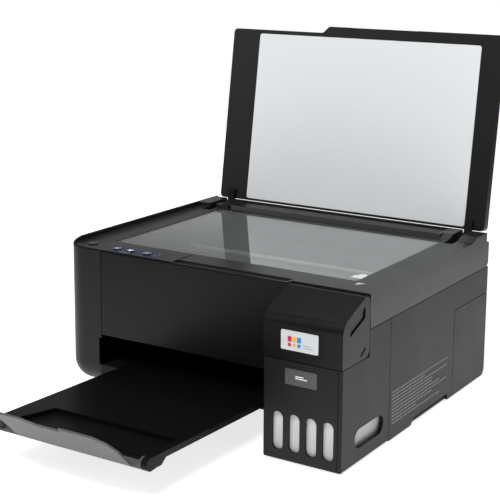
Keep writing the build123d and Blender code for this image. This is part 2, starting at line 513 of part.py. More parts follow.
SUPPORT_PLANE = Plane(
    origin=(PAPER_X, SUPPORT_Y, 171),
    x_dir=(1, 0, 0), z_dir=(0, -math.cos(math.radians(SUPPORT_TILT)), math.sin(math.radians(SUPPORT_TILT))),
)
with BuildPart() as paper_support:
    with BuildSketch(SUPPORT_PLANE):
        with Locations((0, (SUPPORT_LOW + SUPPORT_HIGH) / 2)):
            RectangleRounded(SUPPORT_W, SUPPORT_HIGH - SUPPORT_LOW, 6)
            with GridLocations(40, 1, 5, 1):
                SlotOverall(70, 3, rotation=90, mode=Mode.SUBTRACT)
    extrude(amount=SUPPORT_T / 2, both=True)
save(paper_support, "paper_support")

def chute_line(z, ahead):
    """Y of the sloping paper path at height z, this far ahead of the paper support's middle."""
    return SUPPORT_Y + (z - 171) * math.tan(math.radians(SUPPORT_TILT)) - ahead


with BuildPart() as paper_chute:
    side_profile(PLATE_L, PLATE_R, [
        (chute_line(118, 3), 118), (chute_line(80, 3), 80), (FRONT + 300, 68.5), (FRONT + 246, 64.5),
        (FRONT + 246, 66), (FRONT + 299, 70), (chute_line(82, 4.5), 82), (chute_line(118, 4.5), 118),
    ])
save(paper_chute, "paper_chute")

for side, x in (("left", -127.0), ("right", 89.0)):
    with BuildPart() as paper_guide:
        side_profile(x, x + 4, [
            (FRONT + 314.5, 150), (chute_line(150, 2.5), 150), (chute_line(166, 2.5), 166), (FRONT + 314.5, 166),
        ])
        block(x - 2, x + 6, FRONT + 309, FRONT + 320, 150, 153)
    save(paper_guide, f"paper_guide_{side}")

# ---------------------------------------------------------------- print mechanism
with BuildPart() as mechanism_frame:
    # two side plates that carry the rollers
    for x in (PLATE_L - 2, PLATE_R):
        side_profile(x, x + 2, [
            (FRONT + 146, 24), (FRONT + 316, 24), (FRONT + 316, 112), (FRONT + 290, 112),
            (FRONT + 262, 86), (FRONT + 236, 86), (FRONT + 236, 82), (FRONT + 208, 82), (FRONT + 206, 70.6), (FRONT + 146, 70.6),
        ])
    # cross wall behind the carriage, with a window for the paper and end brackets for the rod
    block(-168, 174, FRONT + 240, FRONT + 242, 84, 126)
    block(PLATE_L - 2, PLATE_R + 2, FRONT + 240, FRONT + 242, 46, 58)
    for x in (-168, 172):
        block(x, x + 2, FRONT + 214, FRONT + 242, 84, 122)
    for x in (PLATE_L - 2, PLATE_R):
        rod_x(x - 1, x + 3, FEED_Y, ROLL_Z, 4.05, mode=Mode.SUBTRACT)
        rod_x(x - 1, x + 3, EXIT_Y, ROLL_Z, 3.05, mode=Mode.SUBTRACT)
        rod_x(x - 1, x + 3, PICK_Y, PICK_Z, 4.05, mode=Mode.SUBTRACT)
        rod_x(x - 1, x + 3, FEED_Y, PINCH_Z, 1.55, mode=Mode.SUBTRACT)
    rod_x(PLATE_L - 11, PLATE_L - 1, IDLER_Y, ROLL_Z, 2)
    rod_x(PLATE_L - 3, PLATE_L + 1, FEED_Y, MOTOR_Z, 2.3, mode=Mode.SUBTRACT)
    rod_x(-170, 176, ROD_Y, ROD_Z, 4, mode=Mode.SUBTRACT)
    with Locations(Location((PULLEY_RIGHT, FRONT + 241, BELT_Z), (90, 0, 0))):
        Cylinder(2.3, 6, mode=Mode.SUBTRACT)
    with Locations(Location((PULLEY_L, FRONT + 237.5, BELT_Z), (90, 0, 0))):
        Cylinder(2, 7)
save(mechanism_frame, "mechanism_frame")


def gear_outline(teeth, x, y, z, turn):
    """One spur gear's outline in a (Y, Z) plane, its tooth at the given angle, thinned for play."""
    pitch = GEAR_MODULE * teeth / 2
    base = pitch * math.cos(math.radians(20))
    half = (math.pi * GEAR_MODULE / 2 - 0.62) / (2 * pitch)     # half tooth angle at the pitch circle
    inv20 = math.tan(math.radians(20)) - math.radians(20)
    points = []
    for k in range(teeth):
        middle = math.radians(turn) + 2 * math.pi * k / teeth
        flank = []
        for r in (pitch - GEAR_MODULE * 1.3, pitch - GEAR_MODULE * 0.45, pitch, pitch + GEAR_MODULE * 0.8):
            roll = math.acos(min(1.0, base / r))
            flank.append((r, half + inv20 - (math.tan(roll) - roll)))
        for r, a in flank:
            points.append((y + r * math.cos(middle - a), z + r * math.sin(middle - a)))
        for r, a in reversed(flank):
            points.append((y + r * math.cos(middle + a), z + r * math.sin(middle + a)))
    return points


GEAR_X0, GEAR_X1 = PLATE_L - 9, PLATE_L - 3
STEP = 360 / GEAR_TEETH
with BuildPart() as feed_roller:
    rod_x(PLATE_L + 1, PLATE_R - 1, FEED_Y, ROLL_Z, FEED_R)
    rod_x(GEAR_X0, PLATE_R + 4, FEED_Y, ROLL_Z, 4)
save(feed_roller, "feed_roller")

with BuildPart() as feed_gear:
    side_profile(GEAR_X0, GEAR_X1, gear_outline(GEAR_TEETH, 0, FEED_Y, ROLL_Z, 0))
    rod_x(GEAR_X0 - 1, GEAR_X1 + 1, FEED_Y, ROLL_Z, 4, mode=Mode.SUBTRACT)
save(feed_gear, "feed_gear")

with BuildPart() as idler_gear:
    side_profile(GEAR_X0, GEAR_X1, gear_outline(GEAR_TEETH, 0, IDLER_Y, ROLL_Z, STEP / 2))
    rod_x(GEAR_X0 - 1, GEAR_X1 + 1, IDLER_Y, ROLL_Z, 2.05, mode=Mode.SUBTRACT)
save(idler_gear, "idler_gear")

with BuildPart() as exit_roller:
    rod_x(GEAR_X0, PLATE_R + 4, EXIT_Y, ROLL_Z, 3)
    for i in range(8):
        rod_x(-120 + i * 28, -108 + i * 28, EXIT_Y, ROLL_Z, FEED_R)
    # its gear is moulded on
    side_profile(GEAR_X0, GEAR_X1, gear_outline(GEAR_TEETH, 0, EXIT_Y, ROLL_Z, 0))
save(exit_roller, "exit_roller")

with BuildPart() as motor_pinion:
    side_profile(GEAR_X0, GEAR_X1, gear_outline(PINION_TEETH, 0, FEED_Y, MOTOR_Z, 90 + 360 / PINION_TEETH / 2))
    rod_x(GEAR_X1 - 1, PLATE_L - 0.1, FEED_Y, MOTOR_Z, 2)
save(motor_pinion, "motor_pinion")

with BuildPart() as pinch_roller:
    rod_x(PLATE_L - 2, PLATE_R + 2, FEED_Y, PINCH_Z, 1.5)
    for x in (-110, -60, -10, 40):
        rod_x(x, x + 24, FEED_Y, PINCH_Z, 4)
save(pinch_roller, "pinch_roller")

with BuildPart() as platen:
    block(PLATE_L, PLATE_R, FRONT + 166, FRONT + 204, 65, 67.5)
    with Locations((PAPER_X - 1, FRONT + 185, 68.2)):
        with GridLocations(16, 0, 13, 1):
            Box(3, 34, 1.6)
save(platen, "platen")

with BuildPart() as carriage_rod:
    rod_x(-168, 174, ROD_Y, ROD_Z, 4)
save(carriage_rod, "carriage_rod")

with BuildPart() as print_carriage:
    block(HOME_X - 30, HOME_X + 30, FRONT + 168, FRONT + 230, 86, 124)
    block(HOME_X - 30, HOME_X + 30, FRONT + 168, FRONT + 206, 78, 90)
    fillet(print_carriage.edges().filter_by(Axis.Z).group_by(Axis.Y)[0], 4)
    block(HOME_X - 27, HOME_X + 27, FRONT + 171, FRONT + 203, 96, 125, mode=Mode.SUBTRACT)
    block(HOME_X - 18.3, HOME_X + 18.3, FRONT + 175, FRONT + 199, 77, 97, mode=Mode.SUBTRACT)
    # clamp that grips the belt's upper run
    block(HOME_X - 10, HOME_X + 10, FRONT + 229, FRONT + 238.5, 108, 114)
    rod_x(HOME_X - 31, HOME_X + 31, ROD_Y, ROD_Z, 4.06, mode=Mode.SUBTRACT)
save(print_carriage, "print_carriage")

with BuildPart() as print_head:
    block(HOME_X - 22, HOME_X + 22, FRONT + 173, FRONT + 201, 96, 112)
    fillet(print_head.edges().filter_by(Axis.Z), 3)
    block(HOME_X - 18, HOME_X + 18, FRONT + 175.3, FRONT + 198.7, 72.5, 96.5)
save(print_head, "print_head")

for side, x in (("left", PULLEY_L), ("right", PULLEY_RIGHT)):
    with BuildPart() as pulley:
        with Locations(Location((x, BELT_Y, BELT_Z), (90, 0, 0))):
            Cylinder(PULLEY_R - 0.3, 4.6)
            if side == "left":
                Cylinder(2.05, 6, mode=Mode.SUBTRACT)
            else:
                with Locations((0, 0, -2.4)):
                    Cylinder(1.9, 6)
    save(pulley, f"belt_pulley_{side}")

with BuildPart() as timing_belt:
    for radius, mode in ((PULLEY_R + 1.3, Mode.ADD), (PULLEY_R, Mode.SUBTRACT)):
        with Locations(((PULLEY_L + PULLEY_RIGHT) / 2, BELT_Y, BELT_Z)):
            Box(PULLEY_RIGHT - PULLEY_L, 4, 2 * radius, mode=mode)
        with Locations(Location((PULLEY_L, BELT_Y, BELT_Z), (90, 0, 0)),
                       Location((PULLEY_RIGHT, BELT_Y, BELT_Z), (90, 0, 0))):
            Cylinder(radius, 4 if mode == Mode.ADD else 6, mode=mode)
save(timing_belt, "timing_belt")

with BuildPart() as drive_motors:
    rod_x(PLATE_L, PLATE_L + 18, FEED_Y, MOTOR_Z, 12)
    with Locations(Location((PULLEY_RIGHT, FRONT + 251, BELT_Z), (90, 0, 0))):
        Cylinder(12, 18)
save(drive_motors, "drive_motors")

with BuildPart() as pickup_roller:
    rod_x(PLATE_L - 2, PLATE_R + 2, PICK_Y, PICK_Z, 4)
    rod_x(PAPER_X - 14, PAPER_X + 14, PICK_Y, PICK_Z, PICK_R)
    rod_x(PAPER_X + 62, PAPER_X + 82, PICK_Y, PICK_Z, PICK_R)
    rod_x(PAPER_X - 82, PAPER_X - 62, PICK_Y, PICK_Z, PICK_R)
save(pickup_roller, "pickup_roller")

with BuildPart() as waste_ink_pad:
    block(110, 174, FRONT + 262, FRONT + 334, FLOOR_Z + 3, 26)
    fillet(waste_ink_pad.edges().filter_by(Axis.Z), 4)
save(waste_ink_pad, "waste_ink_pad")

with BuildPart() as main_board:
    block(101, 183, FRONT + 262, FRONT + 344, BOARD_Z, BOARD_Z + 1.6)
save(main_board, "main_board")

with BuildPart() as usb_port:
    block(USB_X - 8, USB_X + 8, FRONT + 332, REAR - 0.2, BOARD_Z + 1.6, USB_Z + 7.5)
    block(USB_X - 4.3, USB_X + 4.3, FRONT + 338, REAR + 1, USB_Z - 4.6, USB_Z + 4, mode=Mode.SUBTRACT)
    block(USB_X - 2.6, USB_X + 2.6, FRONT + 337, REAR - 2, USB_Z + 1.2, USB_Z + 3.2)
save(usb_port, "usb_port")

with BuildPart() as power_supply:
    block(-163, -138, FRONT + 236, FRONT + 331, FLOOR_Z + WALL, 62)
save(power_supply, "power_supply")

with BuildPart() as ac_inlet:
    block(AC_X - 11, AC_X + 11, FRONT + 331, REAR - 0.2, AC_Z - 7.5, AC_Z + 7.5)
    with BuildSketch(Plane.XZ.offset(-REAR - 1)):
        with Locations((AC_X, AC_Z)):
            SlotOverall(18.6, 10.6)
    extrude(amount=13, mode=Mode.SUBTRACT)
    for x in (AC_X - 4, AC_X + 4):
        with Locations(Location((x, REAR - 8, AC_Z), (90, 0, 0))):
            Cylinder(1.2, 10)
save(ac_inlet, "ac_inlet")

with BuildPart() as case_screws:
    for x in SCREW_X:
        with Locations(Location((x, REAR - 0.8, SCREW_Z), (90, 0, 0))):
            Cylinder(3.4, 1.5)
        with Locations(Location((x, REAR - 5.5, SCREW_Z), (90, 0, 0))):
            Cylinder(1.4, 9)
save(case_screws, "case_screws")

TUBE_R, TUBE_Y, TUBE_LOW, TUBE_TOP = 1.3, TANK_REAR + 3, 31.0, 127.4
with BuildPart() as ink_tubes:
    for i in range(TANK_COUNT):
        x = 118 + i * 3.2
        rod_z(x, TUBE_Y, TUBE_LOW, TUBE_TOP, TUBE_R)
        with Locations((x, TUBE_Y, TUBE_LOW), (x, TUBE_Y, TUBE_TOP)):
            Sphere(TUBE_R)
        with Locations(Location((x, TUBE_Y - 3.5, TUBE_LOW), (90, 0, 0))):
            Cylinder(TUBE_R, 7)
        with Locations(Location((x, TUBE_Y + 35, TUBE_TOP), (90, 0, 0))):
            Cylinder(TUBE_R, 70)
    for z in (60, 110):
        block(116, 130, TUBE_Y - 1.9, TUBE_Y + 1.9, z, z + 6)
save(ink_tubes, "ink_tubes")

# ---------------------------------------------------------------- output tray and paper stopper
def on_tray(behind, height):
    """(Y, Z) of a point this far behind the front panel plane and this high above the tray's top."""
    return (FACE + behind * TILT_COS + height * TILT_SIN, TRAY_Z - behind * TILT_SIN + height * TILT_COS)


STOP_Y, STOP_Z = on_tray(-TRAY_BAR, -STOP_R)
FLAP_L, FLAP_R, FLAP_LONG = -77.5, 57.5, 48.0
with BuildPart() as output_tray:
    with BuildSketch(TRAY_PLANE):
        with BuildLine():
            Polyline((TRAY_L, 40), (TRAY_R, 40), (TRAY_R, -TRAY_BAR + 8.5), (TRAY_L, -TRAY_BAR + 8.5), close=True)
        make_face()
    extrude(amount=-TRAY_T)
    fillet(output_tray.edges().filter_by(lambda e: abs(e.tangent_at(0).X) < 0.1
                                         and abs(e.tangent_at(0).Y) < 0.1).group_by(Axis.Y)[-1], 8)
    # thicker front part that holds the stopper, and its end caps
    side_profile(TRAY_L, TRAY_R, [on_tray(*p) for p in (
        (-166, -1), (-TRAY_BAR + 8.5, 0), (-TRAY_BAR + 8.5, -2 * STOP_R + 1), (-178, -2 * STOP_R + 1), (-170, -5))])
    for x in (TRAY_L, TRAY_R - 7):
        rod_x(x, x + 7, STOP_Y, STOP_Z, STOP_R)
        side_profile(x, x + 7, [on_tray(*p) for p in (
            (-TRAY_BAR + 9, 0), (-TRAY_BAR, 0), (-TRAY_BAR, -2 * STOP_R), (-TRAY_BAR + 9, -2 * STOP_R + 1))])
    # hollow underside, leaving runners at both sides and three ribs
    with BuildSketch(TRAY_PLANE.offset(-TRAY_T)):
        for x0, x1 in ((TRAY_L + 15, -18), (-14, TRAY_R - 15)):
            for y0, y1 in ((-122, -45), (-41, 30)):
                with Locations(((x0 + x1) / 2, (y0 + y1) / 2)):
                    Rectangle(x1 - x0, y1 - y0)
    extrude(amount=TRAY_T - 2, mode=Mode.SUBTRACT)
    # recess that the folded stopper lies in
    with BuildSketch(TRAY_PLANE):
        with BuildLine():
            Polyline((FLAP_L - 14, -TRAY_BAR + 8), (FLAP_R + 10, -TRAY_BAR + 8), (FLAP_R + 10, -TRAY_BAR + 52),
                     (FLAP_L - 2, -TRAY_BAR + 52), close=True)
        make_face()
    extrude(amount=-4.2, mode=Mode.SUBTRACT)
    for x in (TRAY_L + 2, TRAY_R - 8):
        rod_x(x, x + 6, STOP_Y, STOP_Z, 1.55, mode=Mode.SUBTRACT)
save(output_tray, "output_tray")


def on_flap(along, out):
    """(Y, Z) on the raised stopper: along the 45 degree flap from the axis, and outwards from it."""
    return (STOP_Y - (along + out) * math.sqrt(0.5), STOP_Z + (along - out) * math.sqrt(0.5))


with BuildPart() as tray_stopper:
    # trough: part of a tube round the axis
    rod_x(TRAY_L + 7.4, TRAY_R - 7.4, STOP_Y, STOP_Z, STOP_R - 0.1)
    rod_x(TRAY_L + 9.4, TRAY_R - 9.4, STOP_Y, STOP_Z, STOP_R - 2.1, mode=Mode.SUBTRACT)
    side_profile(TRAY_L + 9.4, TRAY_R - 9.4, [on_flap(*p) for p in (
        (0.5, 0), (0.5, 9), (9, 9), (9, -9), (-9, -9), (-4.5, -2))], mode=Mode.SUBTRACT)
    # flap with a finger notch and rounded corners
    with BuildSketch(Plane(origin=(0, *on_flap(0, STOP_R - 0.1)), x_dir=(1, 0, 0),
                           z_dir=(0, -math.sqrt(0.5), -math.sqrt(0.5)))):
        with BuildLine():
            Polyline((FLAP_L, 0), (FLAP_R, 0), (FLAP_R, FLAP_LONG - 20), (FLAP_R - 5, FLAP_LONG - 8),
                     (FLAP_R - 18, FLAP_LONG), (1, FLAP_LONG), (0, FLAP_LONG - 6), (-30, FLAP_LONG - 6),
                     (-40, FLAP_LONG - 3), (-45, FLAP_LONG), (FLAP_L, FLAP_LONG), close=True)
        make_face()
    extrude(amount=-2)
    for x in (TRAY_L + 3, TRAY_R - 8):
        rod_x(x, x + 5, STOP_Y, STOP_Z, 1.5)
save(tray_stopper, "tray_stopper")
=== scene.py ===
# %% [markdown]
# # Inkjet printer with an open scanner lid
# This lesson dresses a CAD model of a tank-type inkjet printer for a studio picture. The CAD pieces
# arrive finished and must not move, so the work here is surfaces, small printed marks, light and camera.
# Each step says what the thing is, how it could be made, and why it is made this way.

import math

import bmesh
import bpy
from mathutils import Matrix, Vector


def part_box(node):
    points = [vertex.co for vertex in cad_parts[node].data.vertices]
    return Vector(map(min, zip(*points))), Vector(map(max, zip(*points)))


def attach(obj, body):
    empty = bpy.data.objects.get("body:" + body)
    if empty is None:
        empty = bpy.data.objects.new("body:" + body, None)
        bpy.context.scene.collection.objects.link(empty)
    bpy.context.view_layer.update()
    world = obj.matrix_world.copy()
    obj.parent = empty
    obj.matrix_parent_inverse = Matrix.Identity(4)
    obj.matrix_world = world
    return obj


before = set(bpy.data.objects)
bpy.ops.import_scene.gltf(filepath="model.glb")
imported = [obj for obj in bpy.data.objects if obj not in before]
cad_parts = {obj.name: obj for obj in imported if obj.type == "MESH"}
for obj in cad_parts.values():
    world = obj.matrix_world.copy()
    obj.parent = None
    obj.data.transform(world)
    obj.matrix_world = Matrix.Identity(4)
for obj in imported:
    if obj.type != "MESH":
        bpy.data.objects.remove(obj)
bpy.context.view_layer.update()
MM = 0.001

# %% [markdown]
# ## A moulded black plastic
# Printer casings are moulded from plastic with a fine spark-eroded grain. A picture of grain could be
# wrapped on, but it would stretch round corners. A procedural noise in Object coordinates has the
# same grain everywhere, whatever the shape, so one recipe serves every casing piece.
# The grain only tilts the surface a little (a bump), and a slower noise varies the roughness, because
# real mouldings are never equally shiny all over.

# %% Moulded plastic recipe
def shader(name):
    """A new material with its Principled shader and object coordinates ready to use."""
    mat = bpy.data.materials.new(name)
    mat.use_nodes = True
    tree = mat.node_tree
    bsdf = tree.nodes["Principled BSDF"]
    coords = tree.nodes.new("ShaderNodeTexCoord")
    return mat, tree, bsdf, coords


def plastic(name, colour, rough=0.42, spec=0.35, grain=0.12, grain_size=1400.0, coat=0.0, drift=0.06):
    """Moulded plastic: fine grain as bump, and a slow drift of roughness."""
    mat, tree, bsdf, coords = shader(name)
    bsdf.inputs["Base Color"].default_value = (*colour, 1)
    bsdf.inputs["Specular IOR Level"].default_value = spec
    bsdf.inputs["Coat Weight"].default_value = coat
    bsdf.inputs["Coat Roughness"].default_value = 0.08
    slow = tree.nodes.new("ShaderNodeTexNoise")
    slow.inputs["Scale"].default_value = 22.0
    slow.inputs["Detail"].default_value = 3.0
    spread = tree.nodes.new("ShaderNodeMapRange")
    spread.inputs["To Min"].default_value = rough - drift
    spread.inputs["To Max"].default_value = rough + drift
    tree.links.new(coords.outputs["Object"], slow.inputs["Vector"])
    tree.links.new(slow.outputs["Fac"], spread.inputs["Value"])
    tree.links.new(spread.outputs["Result"], bsdf.inputs["Roughness"])
    if grain:
        fine = tree.nodes.new("ShaderNodeTexNoise")
        fine.inputs["Scale"].default_value = grain_size
        fine.inputs["Detail"].default_value = 2.0
        bump = tree.nodes.new("ShaderNodeBump")
        bump.inputs["Strength"].default_value = grain
        bump.inputs["Distance"].default_value = 0.0002
        tree.links.new(coords.outputs["Object"], fine.inputs["Vector"])
        tree.links.new(fine.outputs["Fac"], bump.inputs["Height"])
        tree.links.new(bump.outputs["Normal"], bsdf.inputs["Normal"])
    return mat


CASING = plastic("casing_black", (0.0085, 0.0085, 0.0092), 0.42, 0.20)
LID = plastic("lid_black", (0.0085, 0.0085, 0.0090), 0.38, 0.26)
# painted shade: the front fascia is the casing black made darker to offset the strong light from the front
FASCIA_SHADED = plastic("fascia_black_painted_shade", (0.0030, 0.0030, 0.0036), 0.34, 0.20, grain=0.05)
PANEL = plastic("panel_gloss", (0.009, 0.009, 0.010), 0.30, 0.14, grain=0.03, coat=0.03)
# painted shade: the tray is the casing black made darker in the same way
TRAY_SHADED = plastic("tray_black_painted_shade", (0.0030, 0.0030, 0.0034), 0.42, 0.12)
INNER = plastic("inner_black", (0.0050, 0.0050, 0.0055), 0.55, 0.15)
BEZEL = plastic("bezel_black", (0.012, 0.012, 0.0125), 0.38, 0.45)
GREY = plastic("stopper_grey", (0.085, 0.086, 0.088), 0.50, 0.35, grain=0.08)
LABEL_GREY = plastic("plate_grey", (0.075, 0.076, 0.080), 0.35, 0.4, grain=0.0)
WHITE_PART = plastic("gear_white", (0.62, 0.62, 0.59), 0.45, 0.4, grain=0.05)
print("plastics ready")

# %% [markdown]
# ## The ink tanks
# The tanks are blow-moulded from natural polypropylene, which is cloudy: light goes in, scatters and comes
# back out. Subsurface scattering would do it, but painted light is cheaper and looks the same through
# windows this small: a pale colour with a soft vertical change in tone, painted lighter towards the top.

# %% Cloudy tank plastic
PAINTED_LIGHT_FOOT, PAINTED_LIGHT_HEAD = 0.008, 0.055      # heights over which painted light lightens the tone, in metres


def cloudy_painted_light(name, low, high):
    """Pale, slightly uneven plastic with painted light: lighter towards the top."""
    mat, tree, bsdf, coords = shader(name)
    split = tree.nodes.new("ShaderNodeSeparateXYZ")
    light_ramp = tree.nodes.new("ShaderNodeMapRange")
    light_ramp.inputs["From Min"].default_value = PAINTED_LIGHT_FOOT
    light_ramp.inputs["From Max"].default_value = PAINTED_LIGHT_HEAD
    mix = tree.nodes.new("ShaderNodeMix")
    mix.data_type = "RGBA"
    mix.inputs["A"].default_value = (*low, 1)
    mix.inputs["B"].default_value = (*high, 1)
    tree.links.new(coords.outputs["Object"], split.inputs["Vector"])
    tree.links.new(split.outputs["Z"], light_ramp.inputs["Value"])
    tree.links.new(light_ramp.outputs["Result"], mix.inputs["Factor"])
    tree.links.new(mix.outputs["Result"], bsdf.inputs["Base Color"])
    bsdf.inputs["Roughness"].default_value = 0.38
    bsdf.inputs["Subsurface Weight"].default_value = 0.15
    bsdf.inputs["Subsurface Radius"].default_value = (0.004, 0.004, 0.004)
    return mat


# the lighter top colour of the tanks and tubes is painted light
TANK = cloudy_painted_light("tank_cloudy_painted_light", (0.46, 0.46, 0.46), (0.62, 0.62, 0.63))
TUBE = cloudy_painted_light("tube_cloudy_painted_light", (0.45, 0.45, 0.45), (0.5, 0.5, 0.5))
print("tank plastic ready")

# %% [markdown]
# ## The scanner glass
# At a low viewing angle, glass mirrors what stands behind it, here the white pad of the open lid.
# The Principled shader with full transmission gives that for free, because its reflection grows
# towards grazing angles just as on real glass. A faint green-grey tint keeps the inside dark.

# %% Glass, metals, rubber and felt
def simple(name, colour, rough, metal=0.0, spec=0.5, transmission=0.0):
    """A plain surface with a little noise in its roughness."""
    mat, tree, bsdf, coords = shader(name)
    bsdf.inputs["Base Color"].default_value = (*colour, 1)
    bsdf.inputs["Metallic"].default_value = metal
    bsdf.inputs["Specular IOR Level"].default_value = spec
    bsdf.inputs["Transmission Weight"].default_value = transmission
    noise = tree.nodes.new("ShaderNodeTexNoise")
    noise.inputs["Scale"].default_value = 60.0
    spread = tree.nodes.new("ShaderNodeMapRange")
    spread.inputs["To Min"].default_value = max(0.0, rough * 0.85)
    spread.inputs["To Max"].default_value = rough * 1.15
    tree.links.new(coords.outputs["Object"], noise.inputs["Vector"])
    tree.links.new(noise.outputs["Fac"], spread.inputs["Value"])
    tree.links.new(spread.outputs["Result"], bsdf.inputs["Roughness"])
    return mat


GLASS = simple("scanner_glass", (0.80, 0.84, 0.83), 0.012, transmission=0.9)
STEEL = simple("zinc_steel", (0.50, 0.51, 0.53), 0.32, metal=1.0)
BRASS = simple("brass", (0.72, 0.52, 0.22), 0.28, metal=1.0)
RUBBER = simple("rubber_black", (0.02, 0.02, 0.02), 0.75, spec=0.2)
FELT = simple("felt", (0.66, 0.65, 0.60), 0.95, spec=0.1)
BOARD = simple("circuit_board", (0.012, 0.11, 0.045), 0.40)
SILVER = simple("badge_silver", (0.62, 0.64, 0.65), 0.34, spec=0.6)
print("glass, metals and soft stuff ready")

# %% [markdown]
# ## The lid's white pad
# The pad is a smooth foam-backed sheet that presses the page on the glass. A stretched cloth or a
# sculpted foam would show nothing more at this distance, so it is a white with a very fine weave bump.

# %% White pad
PAD, tree, bsdf, coords = shader("pad_white")
bsdf.inputs["Base Color"].default_value = (0.79, 0.815, 0.825, 1)
bsdf.inputs["Roughness"].default_value = 0.55
bsdf.inputs["Specular IOR Level"].default_value = 0.2
weave = tree.nodes.new("ShaderNodeTexNoise")
weave.inputs["Scale"].default_value = 700.0
weave_bump = tree.nodes.new("ShaderNodeBump")
weave_bump.inputs["Strength"].default_value = 0.06
weave_bump.inputs["Distance"].default_value = 0.0002
tree.links.new(coords.outputs["Object"], weave.inputs["Vector"])
tree.links.new(weave.outputs["Fac"], weave_bump.inputs["Height"])
tree.links.new(weave_bump.outputs["Normal"], bsdf.inputs["Normal"])

# %% [markdown]
# ## Inks and printed marks
# Printed marks are paint: one flat colour each. The lit symbols on the control panel shine a little by
# themselves, as the lamps behind them do. The grey notice print and the blue panel window glow a little
# too, and that glow is painted light.

# %% Paints and lamps
def paint(name, colour, glow=0.0, rough=0.5):
    """A flat colour; glow is lamp light on lit symbols, painted light on the notice print and panel
    window, and an even glow on the floor.
    """
    mat, tree, bsdf, coords = shader(name)
    bsdf.inputs["Base Color"].default_value = (*colour, 1)
    bsdf.inputs["Roughness"].default_value = rough
    bsdf.inputs["Specular IOR Level"].default_value = 0.3
    bsdf.inputs["Emission Color"].default_value = (*colour, 1)
    bsdf.inputs["Emission Strength"].default_value = glow
    return mat


MARK = paint("mark_grey", (0.34, 0.34, 0.35))
# painted glow: the notice print shines although no lamp is behind it
PRINT_PAINTED_GLOW = paint("print_grey_painted_glow", (0.16, 0.16, 0.162), glow=0.15)
WHITE_MARK = paint("mark_white", (0.85, 0.85, 0.84))
LIT = paint("mark_lit", (0.62, 0.78, 1.0), glow=0.9)
LIT_SOFT = paint("mark_lit_soft", (0.42, 0.47, 0.62), glow=0.45)
# painted glow: the tinted panel window shines although it is no lamp
NIGHT_BLUE_PAINTED_GLOW = paint("panel_blue_painted_glow", (0.008, 0.011, 0.036), glow=0.22, rough=0.4)
DOT_COLOURS = {"magenta": (0.62, 0.015, 0.10), "yellow": (0.85, 0.48, 0.02), "cyan": (0.01, 0.25, 0.62)}
DOTS = [paint("dot_" + ink, colour, rough=0.35) for ink, colour in DOT_COLOURS.items()]
CAP_COLOURS = {"black": (0.02, 0.02, 0.02), "cyan": (0.01, 0.22, 0.5), "magenta": (0.45, 0.02, 0.14),
               "yellow": (0.7, 0.48, 0.02)}
CAPS = {ink: plastic("cap_" + ink, colour, 0.5, 0.4, grain=0.0) for ink, colour in CAP_COLOURS.items()}
print("paints ready")

# %% [markdown]
# ## Give every CAD piece its surface
# Each moulded or cut piece of a real machine has one material. They could be set one at a time, but a
# table from piece to material is easier to read and change than sixty separate steps.

# %% Assign the materials
LOOKS = {
    "base_case": INNER, "left_side_cover": CASING, "right_side_panel": CASING,
    "right_rear_cover": CASING, "back_cover": CASING, "rubber_feet": RUBBER,
    "tank_housing": CASING, "ink_tanks": TANK, "tank_cover": FASCIA_SHADED, "cover_badge": SILVER,
    "tank_plate": LABEL_GREY, "scanner_bezel": BEZEL, "scanner_pan": INNER,
    "scanner_glass": GLASS, "scan_rod": STEEL, "scan_bar": INNER, "front_panel": FASCIA_SHADED,
    "control_panel": PANEL, "power_button": PANEL, "copy_button": PANEL, "start_button": PANEL,
    "stop_button": PANEL, "document_cover": LID, "cover_pad": PAD, "cover_hinge_arms": INNER,
    "feeder_frame": BEZEL, "feeder_guard": CASING, "paper_support": INNER, "paper_chute": INNER,
    "paper_guide_left": INNER, "paper_guide_right": INNER, "mechanism_frame": STEEL,
    "feed_roller": STEEL, "feed_gear": WHITE_PART, "idler_gear": WHITE_PART,
    "exit_roller": INNER, "motor_pinion": BRASS, "pinch_roller": INNER, "platen": INNER,
    "carriage_rod": STEEL, "print_carriage": INNER, "print_head": INNER,
    "belt_pulley_left": WHITE_PART, "belt_pulley_right": WHITE_PART, "timing_belt": RUBBER,
    "drive_motors": STEEL, "pickup_roller": RUBBER, "waste_ink_pad": FELT, "main_board": BOARD,
    "usb_port": STEEL, "power_supply": INNER, "ac_inlet": INNER, "case_screws": STEEL,
    "ink_tubes": TUBE, "output_tray": TRAY_SHADED, "tray_stopper": GREY,
}
for name, mat in CAPS.items():
    LOOKS["tank_cap_" + name] = mat
for node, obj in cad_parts.items():
    if not obj.data.materials:
        obj.data.materials.append(LOOKS[node])
    for slot in obj.material_slots:
        slot.material = LOOKS[node]
print("pieces dressed:", len(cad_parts))

# %% [markdown]
# ## A helper for thin printed shapes
# Symbols and badges are flat shapes a fraction of a millimetre thick. They could be text or images,
# but small solid plates built from outlines follow their piece when it moves and need no pictures.
# `plate` makes one from a list of 2-D points on a plane given by an origin and two directions.

# %% Thin plate and ring makers
def mesh_object(name, verts, faces, mat, body):
    """A mesh at the origin, dressed and riding on a CAD body."""
    mesh = bpy.data.meshes.new(name)
    mesh.from_pydata([tuple(v) for v in verts], [], faces)
    bm = bmesh.new()
    bm.from_mesh(mesh)
    bmesh.ops.recalc_face_normals(bm, faces=bm.faces)
    bm.to_mesh(mesh)
    bm.free()
    obj = bpy.data.objects.new(name, mesh)
    bpy.context.scene.collection.objects.link(obj)
    obj.data.materials.append(mat)
    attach(obj, body)
    return obj


def plate(name, outlines, origin, right, up, thick, mat, body):
    """Thin solid plates, one for each closed outline of (u, v) points in millimetres."""
    origin, right, up = Vector(origin), Vector(right).normalized(), Vector(up).normalized()
    out = right.cross(up).normalized()
    verts, faces = [], []
    for points in outlines:
        base, n = len(verts), len(points)
        for level in (0.0, thick):
            for u, v in points:
                verts.append(origin + right * u * MM + up * v * MM + out * level * MM)
        faces.append(tuple(range(base, base + n)))
        faces.append(tuple(range(base + n, base + 2 * n)))
        for i in range(n):
            j = (i + 1) % n
            faces.append((base + i, base + j, base + n + j, base + n + i))
    return mesh_object(name, verts, faces, mat, body)


